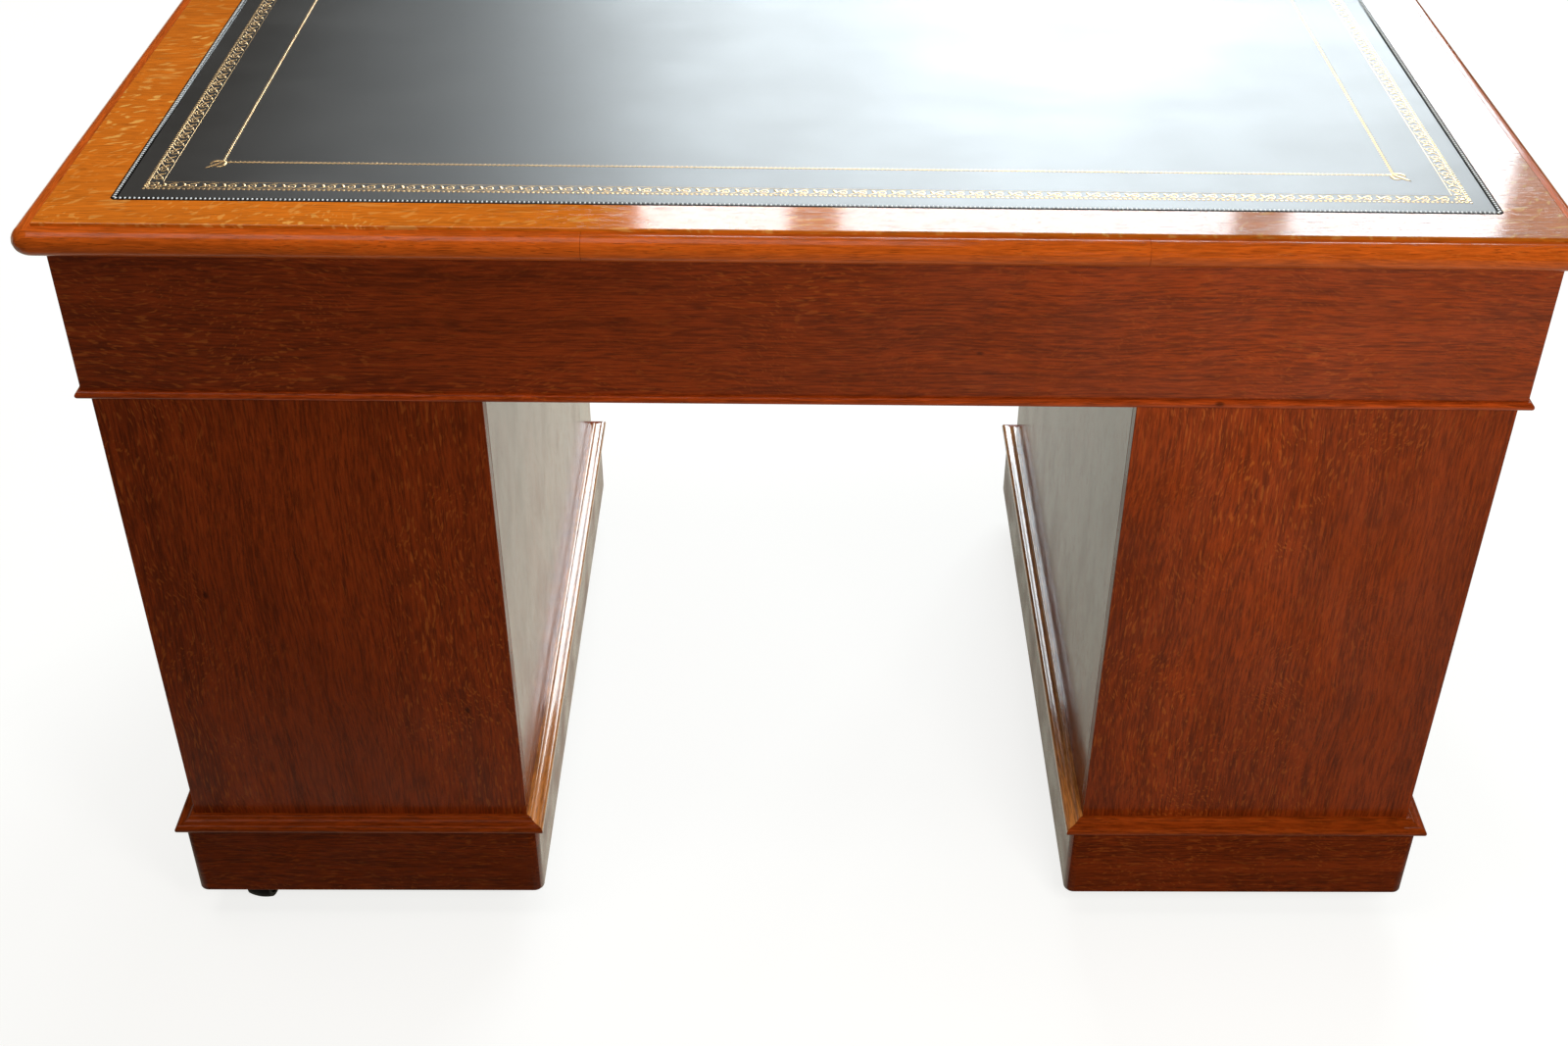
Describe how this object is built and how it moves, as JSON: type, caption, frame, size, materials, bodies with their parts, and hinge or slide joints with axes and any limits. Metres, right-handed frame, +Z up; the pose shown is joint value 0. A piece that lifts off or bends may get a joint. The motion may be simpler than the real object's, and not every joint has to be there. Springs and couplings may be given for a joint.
{
  "type": "pedestal desk",
  "caption": "Twin-pedestal oak writing desk with a leather-lined moulded top, knobbed drawers in frieze and pedestals, ogee plinth mouldings and concealed swivel castors.",
  "frame": {"origin": "on the floor under the middle of the desk", "axes": "+Z up, X along the desk, the drawer fronts face -Y and the plain back faces +Y"},
  "size_m": [1.288, 0.796, 0.797],
  "materials": {
    "polished_oak": "glossy french-polished quarter-sawn oak",
    "carcass_wood": "unpolished sawn softwood, darkened with age",
    "drawer_lining": "bare planed oak lining",
    "leather": "glossy black hide with gilt tooling",
    "castor_iron": "dull black iron",
    "castor_wheel": "worn black iron"
  },
  "bodies": {
    "desk": {"base_mouldings": "polished_oak", "castor_blocks": "carcass_wood", "castor_plates": "castor_iron", "drawer_runners": "carcass_wood", "frieze_back": "polished_oak", "frieze_ends": "polished_oak", "frieze_moulding": "polished_oak", "frieze_partitions": "carcass_wood", "frieze_rails": "polished_oak", "leather_inset": "leather", "pedestal_backs": "polished_oak", "pedestal_boards": "carcass_wood", "pedestal_rails": "polished_oak", "pedestal_sides": "polished_oak", "plinths": "polished_oak", "top_board": "polished_oak", "top_edge": "polished_oak"},
    "castor_swivel_left_back_inner": {"castor_fork_left_back_inner": "castor_iron"},
    "castor_swivel_left_back_outer": {"castor_fork_left_back_outer": "castor_iron"},
    "castor_swivel_left_front_inner": {"castor_fork_left_front_inner": "castor_iron"},
    "castor_swivel_left_front_outer": {"castor_fork_left_front_outer": "castor_iron"},
    "castor_swivel_right_back_inner": {"castor_fork_right_back_inner": "castor_iron"},
    "castor_swivel_right_back_outer": {"castor_fork_right_back_outer": "castor_iron"},
    "castor_swivel_right_front_inner": {"castor_fork_right_front_inner": "castor_iron"},
    "castor_swivel_right_front_outer": {"castor_fork_right_front_outer": "castor_iron"},
    "castor_roller_left_back_inner": {"castor_wheel_left_back_inner": "castor_wheel"},
    "castor_roller_left_back_outer": {"castor_wheel_left_back_outer": "castor_wheel"},
    "castor_roller_left_front_inner": {"castor_wheel_left_front_inner": "castor_wheel"},
    "castor_roller_left_front_outer": {"castor_wheel_left_front_outer": "castor_wheel"},
    "castor_roller_right_back_inner": {"castor_wheel_right_back_inner": "castor_wheel"},
    "castor_roller_right_back_outer": {"castor_wheel_right_back_outer": "castor_wheel"},
    "castor_roller_right_front_inner": {"castor_wheel_right_front_inner": "castor_wheel"},
    "castor_roller_right_front_outer": {"castor_wheel_right_front_outer": "castor_wheel"},
    "centre_frieze_drawer": {"centre_frieze_drawer_box": "drawer_lining", "centre_frieze_drawer_front": "polished_oak", "centre_frieze_drawer_knobs": "polished_oak"},
    "left_frieze_drawer": {"left_frieze_drawer_box": "drawer_lining", "left_frieze_drawer_front": "polished_oak", "left_frieze_drawer_knobs": "polished_oak"},
    "left_lower_drawer": {"left_lower_drawer_box": "drawer_lining", "left_lower_drawer_front": "polished_oak", "left_lower_drawer_knobs": "polished_oak"},
    "left_middle_drawer": {"left_middle_drawer_box": "drawer_lining", "left_middle_drawer_front": "polished_oak", "left_middle_drawer_knobs": "polished_oak"},
    "left_upper_drawer": {"left_upper_drawer_box": "drawer_lining", "left_upper_drawer_front": "polished_oak", "left_upper_drawer_knobs": "polished_oak"},
    "right_frieze_drawer": {"right_frieze_drawer_box": "drawer_lining", "right_frieze_drawer_front": "polished_oak", "right_frieze_drawer_knobs": "polished_oak"},
    "right_lower_drawer": {"right_lower_drawer_box": "drawer_lining", "right_lower_drawer_front": "polished_oak", "right_lower_drawer_knobs": "polished_oak"},
    "right_middle_drawer": {"right_middle_drawer_box": "drawer_lining", "right_middle_drawer_front": "polished_oak", "right_middle_drawer_knobs": "polished_oak"},
    "right_upper_drawer": {"right_upper_drawer_box": "drawer_lining", "right_upper_drawer_front": "polished_oak", "right_upper_drawer_knobs": "polished_oak"}
  },
  "joints": [
    {"name": "centre_frieze_drawer_slide", "type": "slide", "parent": "desk", "child": "centre_frieze_drawer", "axis": [0, -1, 0], "range_m": [0, 0.45]},
    {"name": "left_frieze_drawer_slide", "type": "slide", "parent": "desk", "child": "left_frieze_drawer", "axis": [0, -1, 0], "range_m": [0, 0.45]},
    {"name": "left_lower_drawer_slide", "type": "slide", "parent": "desk", "child": "left_lower_drawer", "axis": [0, -1, 0], "range_m": [0, 0.45]},
    {"name": "left_middle_drawer_slide", "type": "slide", "parent": "desk", "child": "left_middle_drawer", "axis": [0, -1, 0], "range_m": [0, 0.45]},
    {"name": "left_upper_drawer_slide", "type": "slide", "parent": "desk", "child": "left_upper_drawer", "axis": [0, -1, 0], "range_m": [0, 0.45]},
    {"name": "right_frieze_drawer_slide", "type": "slide", "parent": "desk", "child": "right_frieze_drawer", "axis": [0, -1, 0], "range_m": [0, 0.45]},
    {"name": "right_lower_drawer_slide", "type": "slide", "parent": "desk", "child": "right_lower_drawer", "axis": [0, -1, 0], "range_m": [0, 0.45]},
    {"name": "right_middle_drawer_slide", "type": "slide", "parent": "desk", "child": "right_middle_drawer", "axis": [0, -1, 0], "range_m": [0, 0.45]},
    {"name": "right_upper_drawer_slide", "type": "slide", "parent": "desk", "child": "right_upper_drawer", "axis": [0, -1, 0], "range_m": [0, 0.45]},
    {"name": "castor_swivel_right_back_outer", "type": "hinge", "parent": "desk", "child": "castor_swivel_right_back_outer", "pos_m": [0.57, 0.3335, 0.059], "axis": [0, 0, 1], "continuous": true},
    {"name": "castor_roll_right_back_outer", "type": "hinge", "parent": "castor_swivel_right_back_outer", "child": "castor_roller_right_back_outer", "pos_m": [0.57208, 0.34532, 0.017], "axis": [-0.9848, 0.1736, 0], "continuous": true},
    {"name": "castor_swivel_right_back_inner", "type": "hinge", "parent": "desk", "child": "castor_swivel_right_back_inner", "pos_m": [0.33, 0.3335, 0.059], "axis": [0, 0, 1], "continuous": true},
    {"name": "castor_roll_right_back_inner", "type": "hinge", "parent": "castor_swivel_right_back_inner", "child": "castor_roller_right_back_inner", "pos_m": [0.3259, 0.32222, 0.017], "axis": [0.9397, -0.342, 0], "continuous": true},
    {"name": "castor_swivel_right_front_outer", "type": "hinge", "parent": "desk", "child": "castor_swivel_right_front_outer", "pos_m": [0.57, -0.3335, 0.059], "axis": [0, 0, 1], "continuous": true},
    {"name": "castor_roll_right_front_outer", "type": "hinge", "parent": "castor_swivel_right_front_outer", "child": "castor_roller_right_front_outer", "pos_m": [0.55912, -0.33857, 0.017], "axis": [0.4226, -0.9063, 0], "continuous": true},
    {"name": "castor_swivel_right_front_inner", "type": "hinge", "parent": "desk", "child": "castor_swivel_right_front_inner", "pos_m": [0.33, -0.3335, 0.059], "axis": [0, 0, 1], "continuous": true},
    {"name": "castor_roll_right_front_inner", "type": "hinge", "parent": "castor_swivel_right_front_inner", "child": "castor_roller_right_front_inner", "pos_m": [0.336, -0.34389, 0.017], "axis": [0.866, 0.5, 0], "continuous": true},
    {"name": "castor_swivel_left_back_outer", "type": "hinge", "parent": "desk", "child": "castor_swivel_left_back_outer", "pos_m": [-0.57, 0.3335, 0.059], "axis": [0, 0, 1], "continuous": true},
    {"name": "castor_roll_left_back_outer", "type": "hinge", "parent": "castor_swivel_left_back_outer", "child": "castor_roller_left_back_outer", "pos_m": [-0.56689, 0.32191, 0.017], "axis": [0.9659, 0.2588, 0], "continuous": true},
    {"name": "castor_swivel_left_back_inner", "type": "hinge", "parent": "desk", "child": "castor_swivel_left_back_inner", "pos_m": [-0.33, 0.3335, 0.059], "axis": [0, 0, 1], "continuous": true},
    {"name": "castor_roll_left_back_inner", "type": "hinge", "parent": "castor_swivel_left_back_inner", "child": "castor_roller_left_back_inner", "pos_m": [-0.336, 0.32311, 0.017], "axis": [0.866, -0.5, 0], "continuous": true},
    {"name": "castor_swivel_left_front_outer", "type": "hinge", "parent": "desk", "child": "castor_swivel_left_front_outer", "pos_m": [-0.57, -0.3335, 0.059], "axis": [0, 0, 1], "continuous": true},
    {"name": "castor_roll_left_front_outer", "type": "hinge", "parent": "castor_swivel_left_front_outer", "child": "castor_roller_left_front_outer", "pos_m": [-0.55961, -0.3395, 0.017], "axis": [0.5, 0.866, 0], "continuous": true},
    {"name": "castor_swivel_left_front_inner", "type": "hinge", "parent": "desk", "child": "castor_swivel_left_front_inner", "pos_m": [-0.33, -0.3335, 0.059], "axis": [0, 0, 1], "continuous": true},
    {"name": "castor_roll_left_front_inner", "type": "hinge", "parent": "castor_swivel_left_front_inner", "child": "castor_roller_left_front_inner", "pos_m": [-0.32792, -0.32168, 0.017], "axis": [-0.9848, 0.1736, 0], "continuous": true}
  ]
}
